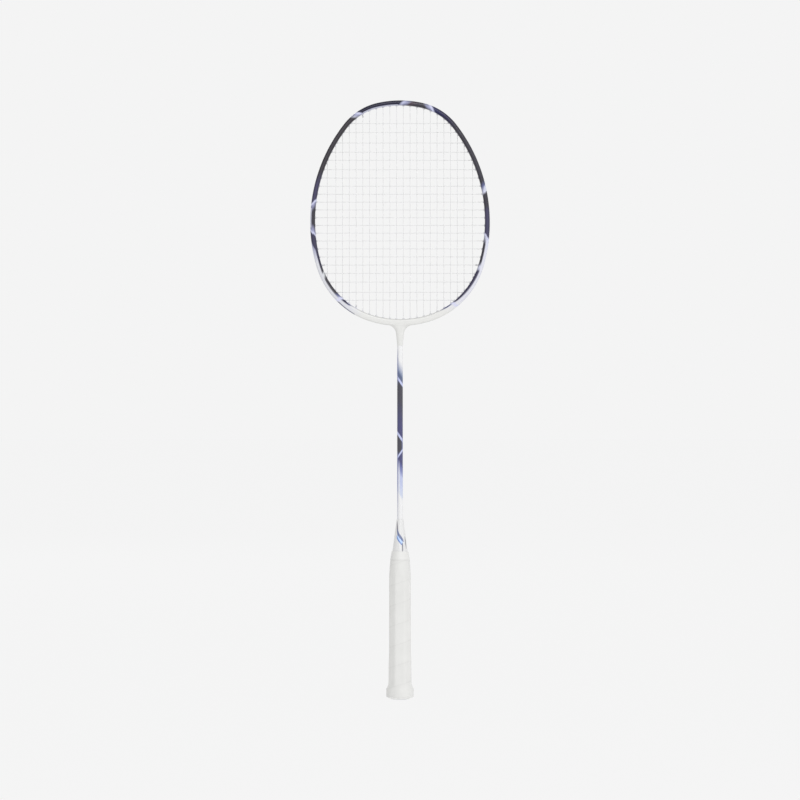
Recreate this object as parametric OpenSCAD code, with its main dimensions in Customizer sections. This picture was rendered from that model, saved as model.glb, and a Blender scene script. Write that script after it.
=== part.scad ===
// Badminton racket: strung oval head, slim shaft, cone and octagonal handle with a flared butt.
// Stands on its butt: +Z runs from the butt to the crown, X across the face, -Y is the front.
// Sizes in millimetres, origin at the middle of the butt's end disc.

/* [Head] */
// Overall length from the butt to the crown
racket_l = 675; // [660:1:680]
// Outer width of the hoop
head_w = 202.4; // [198:0.2:208]
// Outer length of the hoop from the throat to the crown
head_l = 254; // [248:1:260]
// Outer radius of the arc at the crown
crown_r = 115; // [108:1:122]
// Outer radius of the arc at the throat
throat_r = 115; // [108:1:122]
// Hoop width seen from the front, at the crown and the sides
hoop_w = 5.6; // [5.4:0.1:6.2]
// Hoop width seen from the front, at the throat
throat_w = 7.6; // [7:0.1:8.2]
// Hoop depth from front to back
hoop_d = 10.4; // [9.8:0.1:11.2]
// Rounding of the hoop's four long edges
hoop_edge_r = 2.2; // [1.8:0.1:2.4]
// Carbon wall between the hoop's surface and its hollow
hoop_wall = 1; // [0.8:0.05:1.1]
// Width of the string groove round the outside of the hoop
groove_w = 4; // [3.8:0.1:4.4]
// Depth of the string groove
groove_depth = 1.5; // [1.4:0.05:1.6]

/* [Strings] */
// String diameter
string_d = 0.7; // [0.62:0.01:0.72]
// Least space between the outermost main string and the inside of the hoop at its widest
main_margin = 11; // [10:0.5:12]
// Spacing of the main strings, which run lengthways
main_pitch = 7.6; // [7.4:0.1:7.8]
// Extra spacing before the outermost main on each side
main_edge_gap = 2; // [0:0.1:2.4]
// Number of cross strings
cross_count = 22; // [20:2:22]
// Distance from the crown down to the first cross
cross_top = 26; // [24:0.5:30]
// Distance from the throat up to the last cross
cross_bottom = 29; // [27:0.5:33]
// How much the crosses open out towards the ends of the bed
cross_spread = 0.08; // [0:0.01:0.1]
// How much more they open out towards the crown than towards the throat
cross_lean = 0.022; // [0:0.002:0.04]
// Clearance between the layer of mains and the layer of crosses
layer_gap = 0.1; // [0.06:0.02:0.14]

/* [Grommets] */
// Outside diameter of a grommet barrel
barrel_d = 2.6; // [2.4:0.1:2.8]
// Bore of a grommet barrel
barrel_bore = 1.9; // [1.8:0.05:2]
// Diameter of the flange that sits in the groove
flange_d = 3.4; // [3.2:0.1:3.6]
// Thickness of that flange
flange_t = 0.45; // [0.4:0.05:0.5]
// How far the barrel stands out on the inside of the hoop
barrel_reach = 0.9; // [0.6:0.1:1.4]
// Least spacing of two grommets along the hoop
grommet_gap = 3.8; // [3.7:0.1:4.2]

/* [Throat and shaft] */
// Outside diameter of the shaft
shaft_d = 6.4; // [6.2:0.1:7.4]
// Bore of the shaft
shaft_bore = 3.6; // [3.4:0.1:3.7]
// Length of shaft that is held inside the handle
shaft_in_handle = 82; // [70:1:90]
// Distance from the hoop's underside to the top end of the shaft
neck_l = 22; // [18:1:26]
// Radius of the neck where its flare begins
neck_r = 4.6; // [4.4:0.1:5]
// Radius of the flare from the neck into the hoop
flare_r = 10; // [9:0.5:11]
// Depth of the throat from front to back
throat_d = 8.4; // [8:0.1:9.4]
// Length of the joint's stem inside the shaft
stem_in_shaft = 45; // [35:1:60]
// Half length of the joint's arms inside the hoop
arm_l = 22; // [20:1:26]

/* [Handle] */
// Height of the cone's top above the butt
cone_top = 203; // [195:1:210]
// Outside diameter of the cone's top
cone_top_d = 7.8; // [7.7:0.1:8.6]
// Height of the top edge of the grip
grip_top = 167; // [163:1:172]
// Diameter of the cone at the top edge of the grip
cone_mid_d = 17.2; // [16:0.2:18]
// Diameter of the cone at its bottom rim
cone_rim_d = 21.2; // [20.6:0.1:21.4]
// Wall of the cone above the spigot
cone_wall = 1.6; // [1.4:0.1:1.9]
// Height of the shoulder that the cone sits on
core_top = 142; // [136:1:146]
// Width of the wooden core across the narrow facets
core_w = 21.4; // [21.2:0.1:22.4]
// Depth of the wooden core across the wide facets
core_d = 19.8; // [19.2:0.1:20.6]
// Size of the core's corner facets
core_chamfer = 5.8; // [5.4:0.1:6.2]
// Diameter of the turned spigot inside the cone
spigot_d = 15.2; // [14:0.2:15.6]
// Length of that spigot
spigot_l = 13; // [10:1:14]

/* [Grip] */
// Thickness of the adhesive tape under the grip
tape_t = 0.2; // [0.15:0.05:0.3]
// Thickness of the wound grip
wrap_t = 1.2; // [1:0.1:1.6]
// Thickness of the grip where its end is tapered onto the cone
wrap_end_t = 0.35; // [0.3:0.05:1]
// Width of the finishing tape round the top edge of the grip
finish_w = 9; // [7:0.5:12]
// Thickness of the finishing tape
finish_t = 0.15; // [0.1:0.05:0.25]

/* [Butt] */
// Wall of the butt cap's skirt
cap_wall = 1; // [0.9:0.05:1.4]
// Height of the skirt's top edge
cap_top = 44; // [40:1:54]
// Diameter of the butt flange
cap_flange_d = 28.5; // [28:0.1:30]
// Height of the top of the flange's straight side
cap_flange_h = 12.8; // [11.5:0.1:14]
// Height at which the flare above the flange ends
cap_flare_h = 19; // [17:0.5:22]
// Thickness of the cap's end wall
cap_floor = 4; // [3:0.5:5]
// Diameter of the end disc
disc_d = 20; // [18:0.5:21]
// Thickness of the end disc
disc_t = 1; // [0.8:0.1:1.4]
// How far the disc's face stands out from the cap's end
disc_proud = 0.2; // [0.1:0.05:0.3]
// How far the butt's end bulges from its rim to its middle
cap_dome = 2.1; // [1:0.1:2.4]
// Width of the flat middle of the butt's end, on which the racket stands
butt_flat_d = 14; // [10:0.5:16]
// Diameter of the pins that hold the cap
pin_d = 1.2; // [1:0.1:1.6]
// Length of each pin
pin_l = 7; // [6:0.5:7.5]
// Height of the pins above the butt
pin_z = 32; // [28:1:36]

/* [Fits] */
// Clearance between pieces that are pressed, glued or wound together
fit = 0.05; // [0.03:0.01:0.08]

/* [Hidden] */
$fn = 96;
eps = 0.001;
// Growth of every second stretch of the hoop, so that neighbours meet at a clean face
seam = 0.02;
// Angles, from the crown round to the throat, at which the hoop's arcs meet
turn = [0, 13, 52, 106, 165, 180];
string_r = string_d / 2;
layer = string_r + layer_gap / 2;
hoop_bottom = racket_l - head_l;
shaft_top = hoop_bottom - neck_l;
shaft_end = core_top + spigot_l - shaft_in_handle;
stem_r = shaft_bore / 2 - fit;
cavity_w = hoop_w - groove_depth - 1.8 * hoop_wall;
cavity_d = hoop_d - 2 * hoop_wall;
// Hollow beside the groove, on either side of its floor
flank_w = hoop_w - 2 * hoop_wall;
flank_y = groove_w / 2 + 0.8 * hoop_wall;
flank_d = cavity_d / 2 - 0.2 - flank_y;
// Solid part of the throat left between the two middle grommets
bridge_w = main_pitch - flange_d - 0.04;
// Height of the string in the groove, measured from the outside of the hoop
run_u = flange_t + string_r + fit - groove_depth;
skirt_d = core_d + 2 * (fit + cap_wall);

// Radii of the five tangent arcs of half a hoop with the given half width, length and end radii
function radii(hw, len, rt, rb) =
    let (s = [for (a = turn) sin(a)])
    let (c = [for (a = turn) cos(a)])
    let (p2 = (hw - rt * s[1]) / (s[2] - s[1]))
    let (q2 = (s[2] - 1) / (s[2] - s[1]))
    let (p4 = (rb * s[4] - hw) / (s[4] - s[3]))
    let (q4 = (1 - s[3]) / (s[4] - s[3]))
    let (k = len - rt - rb + rt * c[1] - rb * c[4])
    let (n = k - p2 * (c[1] - c[2]) - p4 * (c[3] - c[4]))
    let (r = n / (q2 * (c[1] - c[2]) + c[2] - c[3] + q4 * (c[3] - c[4])))
    [rt, p2 + q2 * r, r, p4 + q4 * r, rb];

// Arcs as [radius, start angle, end angle, centre x, centre z]
function arcs(r, zt, i = 0, c = [0, 0]) =
    i > 4 ? [] :
    let (d = i == 0 ? 0 : r[i - 1] - r[i])
    let (p = i == 0 ? [0, zt - r[0]] : c + d * [sin(turn[i]), cos(turn[i])])
    concat([[r[i], turn[i], turn[i + 1], p[0], p[1]]], arcs(r, zt, i + 1, p));

outside = arcs(radii(head_w / 2, head_l, crown_r, throat_r), racket_l);
inside = arcs(
    radii(head_w / 2 - hoop_w, head_l - hoop_w - throat_w, crown_r - hoop_w, throat_r - hoop_w),
    racket_l - hoop_w);

// Point on the outside of the hoop at a signed angle from the crown, moved out by u
function outer_point(t, u) =
    let (a = [for (a = outside) if (abs(t) >= a[1] && abs(t) <= a[2]) a][0])
    [sign(t) * (a[3] + (a[0] + u) * sin(abs(t))), a[4] + (a[0] + u) * cos(abs(t))];

// Angle at which a line along x or z meets the row of grommet tips
function top_angle(x) =
    [for (a = inside)
        let (t = asin((x - a[3]) / (a[0] - barrel_reach)))
        if (t >= a[1] - eps && t <= a[2]) t][0];
function bottom_angle(x) =
    [for (a = inside)
        let (t = 180 - asin((x - a[3]) / (a[0] - barrel_reach)))
        if (t >= a[1] && t <= a[2]) t][0];
function cross_angle(z) =
    [for (a = inside)
        let (t = acos((z - a[4]) / (a[0] - barrel_reach)))
        if (t >= a[1] && t <= a[2]) t][0];

// Tip of the grommet at an angle, on the right-hand half
function tip(t) =
    let (a = [for (a = inside) if (t >= a[1] - eps && t <= a[2]) a][0])
    [a[3] + (a[0] - barrel_reach) * sin(t), a[4] + (a[0] - barrel_reach) * cos(t)];

// Distance along a grommet's axis from its tip to the curve u outside the hoop, and the angle there
function reach(t, u) =
    let (p = tip(t))
    let (d = [sin(t), cos(t)])
    [for (a = outside)
        let (v = p - [a[3], a[4]])
        let (b = v * d)
        let (l = -b + sqrt(b * b - v * v + (a[0] + u) * (a[0] + u)))
        let (h = v + l * d)
        let (g = atan2(h[0], h[1]))
        if (g >= a[1] - eps && g <= a[2]) [l, g]][0];

// As many mains as the head's width takes
half_mains = floor((head_w / 2 - hoop_w - main_edge_gap - main_margin) / main_pitch + 0.5);
main_count = 2 * half_mains;
main_x = [for (k = [0:half_mains - 1])
    main_pitch * (k + 0.5) + (k == half_mains - 1 ? main_edge_gap : 0)];
main_top = [for (x = main_x) top_angle(x)];
main_bottom = [for (x = main_x) bottom_angle(x)];
main_holes = concat(main_top, main_bottom);

// Crosses at their even spacing, then moved along the hoop where a main's grommet is too near
cross_high = racket_l - cross_top;
cross_low = hoop_bottom + cross_bottom;
function spread(s) = s * (1 - cross_spread) + cross_spread * s * s * s - cross_lean * (1 - s * s);
cross_z = [for (k = [0:cross_count - 1])
    (cross_high + cross_low) / 2 + spread(1 - 2 * k / (cross_count - 1)) * (cross_high - cross_low) / 2];
function clear_of_mains(t) =
    let (near = [for (m = main_holes) if (norm(tip(m) - tip(t)) < grommet_gap) m])
    len(near) == 0 ? t :
    let (m = near[0])
    let (a = [for (a = inside) if (t >= a[1] && t <= a[2]) a][0])
    let (way = t >= m ? 1 : -1)
    m + way * grommet_gap / (a[0] - barrel_reach) * 180 / PI;
cross_holes = [for (z = cross_z) clear_of_mains(cross_angle(z))];

// A string's way through one hole, from inside the hoop to the groove
function in_plane(p, side, y) = [side * p[0], y, p[1]];
function along(t, side, l, y) = in_plane(tip(t) + l * [sin(t), cos(t)], side, y);
function groove_point(g, y) = let (p = outer_point(g, run_u)) [p[0], y, p[1]];
bend = 0.45;

// Out of one hole, along the groove and back in through another
function loop(t1, s1, t2, s2, y) =
    let (r1 = reach(t1, run_u))
    let (r2 = reach(t2, run_u))
    let (g1 = s1 * r1[1])
    let (g2 = s2 * r2[1])
    let (step = sign(g2 - g1) * bend / 100 * 180 / PI)
    let (parts = abs(g2 - g1) > 5 ? 4 : 2)
    [along(t1, s1, 0, y),
     along(t1, s1, r1[0] - bend, y),
     groove_point(g1 + step, y),
     for (k = [1:parts - 1]) groove_point(g1 + (g2 - g1) * k / parts, y),
     groove_point(g2 - step, y),
     along(t2, s2, r2[0] - bend, y),
     along(t2, s2, 0, y)];

// Two turns round the anchor string that leaves hole t along direction d
hitch_l = 5;
function hitch(t, s, d, y) =
    [for (k = [2:20])
        let (a = 45 * k)
        let (p = in_plane(tip(t), s, -y) + d * (0.3 + k / 8 * (string_d + 0.45)))
        p + 2 * layer * (sign(y) * cos(a) * [0, 1, 0] + sin(a) * cross(d, [0, 1, 0]))];

// Mains: holes in order from the left, signed by side
main_n = [for (k = [0:main_count - 1]) k < half_mains ? half_mains - 1 - k : k - half_mains];
main_s = [for (k = [0:main_count - 1]) k < half_mains ? -1 : 1];
last_main = half_mains - 1;
last_cross = cross_count - 1;
tie_cross = max([for (c = cross_holes)
    if (c < main_bottom[last_main] && tip(c)[0] > main_x[last_main] + hitch_l) c]);
function main_tail(s) = concat(
    loop(main_bottom[last_main], s, tie_cross, s, -layer),
    hitch(tie_cross, s, [-s, 0, 0], -layer));
function backwards(list) = [for (k = [len(list) - 1:-1:0]) list[k]];
main_path = concat(
    backwards(main_tail(-1)),
    [for (k = [0:main_count - 2])
        let (h = k % 2 == 0 ? main_top : main_bottom)
        each loop(h[main_n[k]], main_s[k], h[main_n[k + 1]], main_s[k + 1], -layer)],
    main_tail(1));

// Crosses: from the crown down, with both free ends on the left
first_tie = max([for (m = main_top) if (tip(m)[1] > tip(cross_holes[0])[1] + hitch_l) m]);
last_tie = min([for (m = main_bottom) if (tip(m)[1] < tip(cross_holes[last_cross])[1] - hitch_l) m]);
cross_path = concat(
    backwards(hitch(first_tie, -1, [0, 0, -1], layer)),
    loop(first_tie, -1, cross_holes[0], -1, layer),
    [for (k = [0:cross_count - 2])
        let (s = k % 2 == 0 ? 1 : -1)
        each loop(cross_holes[k], s, cross_holes[k + 1], s, layer)],
    loop(cross_holes[last_cross], -1, last_tie, -1, layer),
    hitch(last_tie, -1, [0, 0, 1], layer));

// Round cord along a path, its ring of sides carried along without twist
cord_sides = 6;
function unit(v) = v / norm(v);
function heading(p, i) =
    i == 0 ? unit(p[1] - p[0]) :
    i == len(p) - 1 ? unit(p[i] - p[i - 1]) :
    unit(unit(p[i] - p[i - 1]) + unit(p[i + 1] - p[i]));
module cord(path, r) {
    n = len(path);
    m = cord_sides;
    t = [for (i = [0:n - 1]) heading(path, i)];
    first = unit(cross(t[0], [0.3, 1, 0.2]));
    frames = [for (i = 0, v = first; i < n; i = i + 1, v = i < n ? unit(v - (v * t[i]) * t[i]) : v) v];
    points = [for (i = [0:n - 1]) for (k = [0:m - 1])
        path[i] + r * (cos(360 * k / m) * frames[i] + sin(360 * k / m) * cross(t[i], frames[i]))];
    walls = [for (i = [0:n - 2]) for (k = [0:m - 1])
        let (a = i * m + k)
        let (b = i * m + (k + 1) % m)
        each [[a, a + m, b], [b, a + m, b + m]]];
    start_cap = [for (k = [0:m - 1]) k];
    end_cap = [for (k = [m - 1:-1:0]) (n - 1) * m + k];
    polyhedron(points, concat([start_cap], walls, [end_cap]));
}

// Sweeps a profile round a row of arcs, X outwards and Y through the depth
// Every second stretch is a hair larger and takes in the ends of its neighbours
module ring(row) {
    for (i = [0:4]) {
        a = row[i];
        $grow = i % 2 == 0 ? seam : 0;
        lap = i % 2 == 0 ? 0 : 0.4;
        if (i == 0 || i == 4) {
            stretch(a[0], a[3], a[4], i == 0 ? -a[2] : a[1], i == 0 ? a[2] : 360 - a[1])
                children();
        } else {
            stretch(a[0], a[3], a[4], a[1] - lap, a[2] + lap)
                children();
            stretch(a[0], -a[3], a[4], -a[2] - lap, lap - a[1])
                children();
        }
    }
}

module stretch(r, x, z, from, to) {
    translate([x, 0, z])
        rotate([90, 0, 0])
            rotate([0, 0, 90 - to])
                rotate_extrude(angle = to - from)
                    translate([r, 0])
                        children();
}

// Bar profile with two rounded edges near x = 0, reaching l inwards or outwards
module edge_profile(l, way) {
    r = hoop_edge_r;
    d = hoop_d + 2 * $grow;
    x = -way * $grow;
    translate([way > 0 ? x + r : -l, -d / 2])
        square([l - r + $grow, d]);
    translate([way > 0 ? x : -l, r - d / 2])
        square([l + $grow, d - 2 * r]);
    for (s = [-1, 1])
        translate([x + way * r, s * (d / 2 - r)])
            circle(r);
}

module groove_profile() {
    w = groove_w + 2 * $grow;
    translate([-groove_depth - $grow, -w / 2])
        square([groove_depth + 0.8 + 2 * $grow, w]);
}

// Hollow of the tube, with a flank on either side of the groove
module cavity_profile() {
    d = cavity_d + 2 * $grow;
    translate([hoop_wall - $grow, -d / 2])
        square([cavity_w + 2 * $grow, d]);
    for (s = [-1, 1])
        translate([hoop_wall, s > 0 ? flank_y - $grow : -flank_y - flank_d - $grow])
            square([flank_w + $grow, flank_d + 2 * $grow]);
}

// Places a piece at a grommet: +Z points out through the hoop, from the barrel's tip
module at_hole(t, side) {
    p = tip(t);
    translate([side * p[0], 0, p[1]])
        rotate([0, side * t, 0])
            children();
}

module all_holes(d) {
    for (s = [-1, 1])
        for (t = concat(main_holes, cross_holes))
            at_hole(t, s)
                translate([0, 0, -1])
                    cylinder(d = d, h = reach(t, 0)[0] + 1);
}

module frame() {
    color("#33304f")
        difference() {
            union() {
                intersection() {
                    ring(outside) edge_profile(9, -1);
                    ring(inside) edge_profile(12, 1);
                }
                throat();
            }
            difference() {
                ring(outside) groove_profile();
                translate([-bridge_w / 2, -hoop_d, hoop_bottom - 5])
                    cube([bridge_w, 2 * hoop_d, 10]);
            }
            ring(inside) cavity_profile();
            all_holes(barrel_d + 2 * fit);
            translate([0, 0, shaft_top - 1])
                cylinder(r = stem_r + fit, h = neck_l + throat_w - hoop_wall - cavity_w / 2 + 1);
        }
}

// Flare between the shaft and the hoop
module throat() {
    flare_z = hoop_bottom + 0.9 - flare_r;
    flare_x = neck_r + flare_r - 2;
    intersection() {
        rotate_extrude()
            difference() {
                polygon([
                    [0, shaft_top],
                    [shaft_d / 2 + 0.1, shaft_top],
                    [neck_r, flare_z],
                    [neck_r, flare_z + eps],
                    [flare_x, flare_z + eps],
                    [flare_x, hoop_bottom + 3],
                    [0, hoop_bottom + 3]]);
                translate([neck_r + flare_r, flare_z])
                    circle(flare_r);
            }
        translate([-50, -throat_d / 2, shaft_top - 1])
            cube([100, throat_d, neck_l + 5]);
    }
}

// Tee inside the throat: a stem down the shaft's bore and two arms along the hoop's hollow
module t_joint() {
    arm_angle = arm_l / (inside[4][0] + hoop_wall) * 180 / PI;
    stem_z = shaft_top - stem_in_shaft;
    arm_z = hoop_bottom + throat_w - hoop_wall - cavity_w / 2;
    color("#8a8d91")
        difference() {
            union() {
                stretch(inside[4][0], 0, inside[4][4], 180 - arm_angle, 180 + arm_angle)
                    translate([hoop_wall + fit, fit - cavity_d / 2])
                        square([cavity_w - 2 * fit, cavity_d - 2 * fit]);
                translate([0, 0, stem_z])
                    cylinder(r = stem_r, h = arm_z - stem_z);
            }
            for (s = [-1, 1])
                for (t = main_bottom)
                    if (tip(t)[0] < arm_l + 2)
                        at_hole(t, s)
                            cylinder(d = barrel_d + 2 * fit, h = 12);
        }
}

module shaft() {
    color("#f2f2f2")
        translate([0, 0, shaft_end])
            difference() {
                cylinder(d = shaft_d, h = shaft_top - shaft_end);
                translate([0, 0, -1])
                    cylinder(d = shaft_bore, h = shaft_top - shaft_end + 2);
            }
}

// Moulded cone between the shaft and the handle
module cone() {
    color("#f4f4f4")
        rotate_extrude()
            polygon([
                [shaft_d / 2 + fit, cone_top - 14],
                [shaft_d / 2 + 0.8, cone_top - 16],
                [cone_mid_d / 2 - cone_wall, grip_top],
                [spigot_d / 2 + fit, core_top + spigot_l + fit],
                [spigot_d / 2 + fit, core_top],
                [cone_rim_d / 2, core_top],
                [cone_shoulder_d / 2, cone_shoulder_z],
                [cone_mid_d / 2, grip_top],
                [cone_top_d / 2, cone_top - 0.8],
                [shaft_d / 2 + fit, cone_top]]);
}

// Handle's octagon grown outwards by g on every facet
function corners(g) =
    let (w = core_w / 2 + g)
    let (d = core_d / 2 + g)
    let (c = core_chamfer + g * (2 - sqrt(2)))
    [[w, d - c], [w - c, d], [c - w, d], [-w, d - c], [-w, c - d], [c - w, -d], [w - c, -d], [w, c - d]];
module octagon(g) {
    polygon(corners(g));
}

// Wooden core: octagonal below the shoulder, turned round where the cone sits
module handle_core() {
    color("#c9a26b")
        difference() {
            union() {
                intersection() {
                    translate([0, 0, cap_floor])
                        linear_extrude(core_top - cap_floor)
                            octagon(0);
                    union() {
                        cylinder(r = 30, h = core_top - 4);
                        translate([0, 0, core_top - 4 - eps])
                            cylinder(r1 = core_w / 2 + 0.8, r2 = cone_rim_d / 2 - 0.2, h = 4 + eps);
                    }
                }
                translate([0, 0, core_top - 1])
                    cylinder(d = spigot_d, h = spigot_l + 1);
            }
            translate([0, 0, shaft_end - fit])
                cylinder(d = shaft_d + 2 * fit, h = shaft_in_handle + 5);
            cap_pin_holes();
        }
}

module cap_pin_holes() {
    for (s = [-1, 1])
        translate([0, s * (skirt_d / 2 + 1), pin_z])
            rotate([s * 90, 0, 0])
                cylinder(d = pin_d + 2 * fit, h = pin_l + 1 + fit);
}

// Bulging end of the butt: profile from the axis, past its flat middle, out to radius r
function bulge(r) =
    let (f = butt_flat_d / 2)
    let (rim = cap_flange_d / 2)
    concat([[0, 0]], [for (k = [0:7])
        let (q = f + (r - f) * k / 7)
        [q, cap_dome * (q * q - f * f) / (rim * rim - f * f)]]);
disc_back = bulge(disc_d / 2)[8][1] + disc_t;
rim_z = cap_dome + disc_proud + 0.8;

// Moulded cap: flared flange, end wall and a skirt round the core
module butt_cap() {
    color("#ececec")
        difference() {
            union() {
                rotate_extrude()
                    polygon(concat(
                        [for (p = bulge(cap_flange_d / 2 - 0.8)) p + [0, disc_proud]],
                        [[cap_flange_d / 2, rim_z],
                        [cap_flange_d / 2, cap_flange_h],
                        [(cap_flange_d + skirt_d) / 4, (cap_flange_h + cap_flare_h) / 2 - 1],
                        [skirt_d / 2 - 1, cap_flare_h],
                        [0, cap_flare_h]]));
                translate([0, 0, cap_floor - 2])
                    linear_extrude(cap_top - cap_floor + 2)
                        octagon(fit + cap_wall);
            }
            translate([0, 0, cap_floor - fit])
                linear_extrude(cap_top)
                    octagon(fit);
            translate([0, 0, -1])
                cylinder(d = disc_d + 2 * fit, h = disc_back + 1 + fit);
            cap_pin_holes();
        }
}

// Plain disc that closes the end of the cap: flat in the middle, rising to its rim
module butt_disc() {
    color("#e2e2e4")
        rotate_extrude()
            polygon(concat(bulge(disc_d / 2), [[disc_d / 2, disc_back], [0, disc_back]]));
}

// Headless pins through the skirt into the core
module cap_pins() {
    color("#a9acb0")
        for (s = [-1, 1])
            translate([0, s * skirt_d / 2, pin_z])
                rotate([s * 90, 0, 0])
                    cylinder(d = pin_d, h = pin_l);
}

// Double-sided tape under the grip
module grip_tape() {
    color("#d8d2b8")
        translate([0, 0, cap_top + 1])
            linear_extrude(core_top - 6 - cap_top)
                difference() {
                    octagon(fit + tape_t);
                    octagon(fit);
                }
}

// Ring of points: the handle's octagon grown by g, a circle of radius r, or a shape between
facet_n = 6;
ring_n = 8 * facet_n;
function section(z, g, r, round) =
    let (o = corners(g))
    let (q = corners(0))
    [for (f = [0:7]) for (k = [0:facet_n - 1])
        let (a = o[f] + (o[(f + 1) % 8] - o[f]) * k / facet_n)
        let (b = q[f] + (q[(f + 1) % 8] - q[f]) * k / facet_n)
        let (p = (1 - round) * a + round * r * unit(b))
        [p[0], p[1], z]];

// Sleeve through a list of rings, the outer ones upwards and then the inner ones downwards
module sleeve(rings) {
    m = len(rings);
    n = ring_n;
    points = [for (r = rings) each r];
    faces = [for (i = [0:m - 1]) for (k = [0:n - 1])
        let (a = i * n + k)
        let (b = i * n + (k + 1) % n)
        let (c = ((i + 1) % m) * n + k)
        let (d = ((i + 1) % m) * n + (k + 1) % n)
        each [[a, c, b], [b, c, d]]];
    polyhedron(points, faces);
}

// Stations of the grip from the butt up: [height, octagon growth, radius, roundness, thickness]
tape_g = 2 * fit + tape_t;
skirt_g = 2 * fit + cap_wall;
flange_r = cap_flange_d / 2 + 2 * fit;
flare_h = cap_flare_h - cap_flange_h;
wrap_start = rim_z;
cone_shoulder_z = (core_top + grip_top) / 2 + 1;
cone_shoulder_d = 0.3 * cone_mid_d + 0.7 * cone_rim_d - 0.2;
stations = [
    [wrap_start, 0, flange_r, 1, wrap_t - 0.2],
    [wrap_start + 1.5, 0, flange_r, 1, wrap_t],
    [cap_flange_h, 0, flange_r, 1, wrap_t],
    [cap_flange_h + flare_h / 3, skirt_g + 0.8, skirt_d / 2 + 2.1, 0.7, wrap_t],
    [cap_flange_h + flare_h * 2 / 3, skirt_g + 0.3, skirt_d / 2 + 1.1, 0.35, wrap_t],
    [cap_flare_h + 0.5, skirt_g, skirt_d / 2, 0, wrap_t],
    [cap_top + 0.5, skirt_g, skirt_d / 2, 0, wrap_t - 0.35],
    [cap_top + 7, tape_g, core_w / 2, 0, wrap_t],
    [core_top - 4, tape_g, core_w / 2, 0, wrap_t],
    [core_top - 1, tape_g, core_w / 2 + tape_g, 0.5, wrap_t],
    [core_top + 2, tape_g, cone_rim_d / 2 + 0.1, 1, wrap_t],
    [cone_shoulder_z, tape_g, cone_shoulder_d / 2 + 0.1, 1, wrap_t],
    [grip_top, tape_g, cone_mid_d / 2 + 0.1, 1, wrap_end_t]];

// Synthetic grip strip wound up the handle, from the butt's rim onto the cone
module grip_wrap() {
    color("#e9e9e7")
        sleeve(concat(
            [for (s = stations) section(s[0], s[1] + s[4], s[2] + s[4], s[3])],
            [for (s = backwards(stations)) section(s[0], s[1], s[2], s[3])]));
}

// Finishing tape round the top edge of the grip
module finishing_tape() {
    low = stations[len(stations) - 2];
    high = stations[len(stations) - 1];
    slope = (low[2] + low[4] - high[2] - high[4]) / (high[0] - low[0]);
    r = high[2] + high[4] + fit;
    color("#f6f6f6")
        rotate_extrude()
            polygon([
                [r, grip_top],
                [r + slope * finish_w, grip_top - finish_w],
                [r + slope * finish_w + finish_t, grip_top - finish_w],
                [r + finish_t, grip_top]]);
}

// Flanged grommet in the hole at angle t
module grommet(t, s) {
    l = reach(t, -groove_depth)[0];
    at_hole(t, s)
        difference() {
            union() {
                cylinder(d = barrel_d, h = l + fit);
                translate([0, 0, l])
                    cylinder(d = flange_d, h = flange_t);
            }
            translate([0, 0, -1])
                cylinder(d = barrel_bore, h = l + flange_t + 2);
        }
}

module grommets_crown() {
    color("#d6d6de")
        for (s = [-1, 1])
            for (t = main_top)
                grommet(t, s);
}

module grommets_throat() {
    color("#d6d6de")
        for (s = [-1, 1])
            for (t = main_bottom)
                grommet(t, s);
}

module grommets_left() {
    color("#d6d6de")
        for (t = cross_holes)
            grommet(t, -1);
}

module grommets_right() {
    color("#d6d6de")
        for (t = cross_holes)
            grommet(t, 1);
}

// One length of string for all the mains, tied off at both lower corners
module main_string() {
    color("#ffffff")
        cord(main_path, string_r);
}

// One length of string for all the crosses, tied off at the left
module cross_string() {
    color("#ffffff")
        cord(cross_path, string_r);
}

frame();
t_joint();
shaft();
cone();
handle_core();
butt_cap();
butt_disc();
cap_pins();
grip_tape();
grip_wrap();
finishing_tape();
grommets_crown();
grommets_throat();
grommets_left();
grommets_right();
main_string();
cross_string();
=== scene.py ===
import math
from functools import partial
import bmesh
import bpy
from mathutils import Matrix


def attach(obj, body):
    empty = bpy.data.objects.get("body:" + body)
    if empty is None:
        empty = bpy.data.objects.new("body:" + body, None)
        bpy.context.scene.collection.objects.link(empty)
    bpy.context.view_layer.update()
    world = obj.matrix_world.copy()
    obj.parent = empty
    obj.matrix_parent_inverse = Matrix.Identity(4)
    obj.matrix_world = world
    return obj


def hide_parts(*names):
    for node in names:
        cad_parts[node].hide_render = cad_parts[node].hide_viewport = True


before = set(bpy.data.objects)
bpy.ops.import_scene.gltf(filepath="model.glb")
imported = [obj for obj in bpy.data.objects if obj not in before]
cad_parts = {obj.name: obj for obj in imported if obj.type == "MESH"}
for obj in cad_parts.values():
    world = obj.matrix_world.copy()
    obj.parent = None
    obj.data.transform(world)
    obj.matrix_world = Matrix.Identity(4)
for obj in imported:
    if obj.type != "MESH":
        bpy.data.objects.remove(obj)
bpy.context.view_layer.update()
scene = bpy.context.scene
mm = 0.001
turnSides = 96  # sides of a turned form
wavePeriod = 0.31  # a wave texture of scale 1 repeats after this length
print("frame loaded:", len(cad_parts), "solids")


def linear(hexColour):  # sRGB hex to linear RGBA
    parts = [int(hexColour[k:k + 2], 16) / 255 for k in (1, 3, 5)]
    return [c / 12.92 if c <= 0.04045 else ((c + 0.055) / 1.055) ** 2.4 for c in parts] + [1.0]


def setInputs(tree, node, inputs):  # each takes a value, a hex colour, a socket or a node
    for name, value in inputs.items():
        if isinstance(value, bpy.types.Node):
            value = next(s for s in value.outputs if s.enabled)
        if isinstance(value, bpy.types.NodeSocket):
            tree.links.new(value, node.inputs[name])
        else:
            node.inputs[name].default_value = linear(value) if isinstance(value, str) else value


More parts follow.
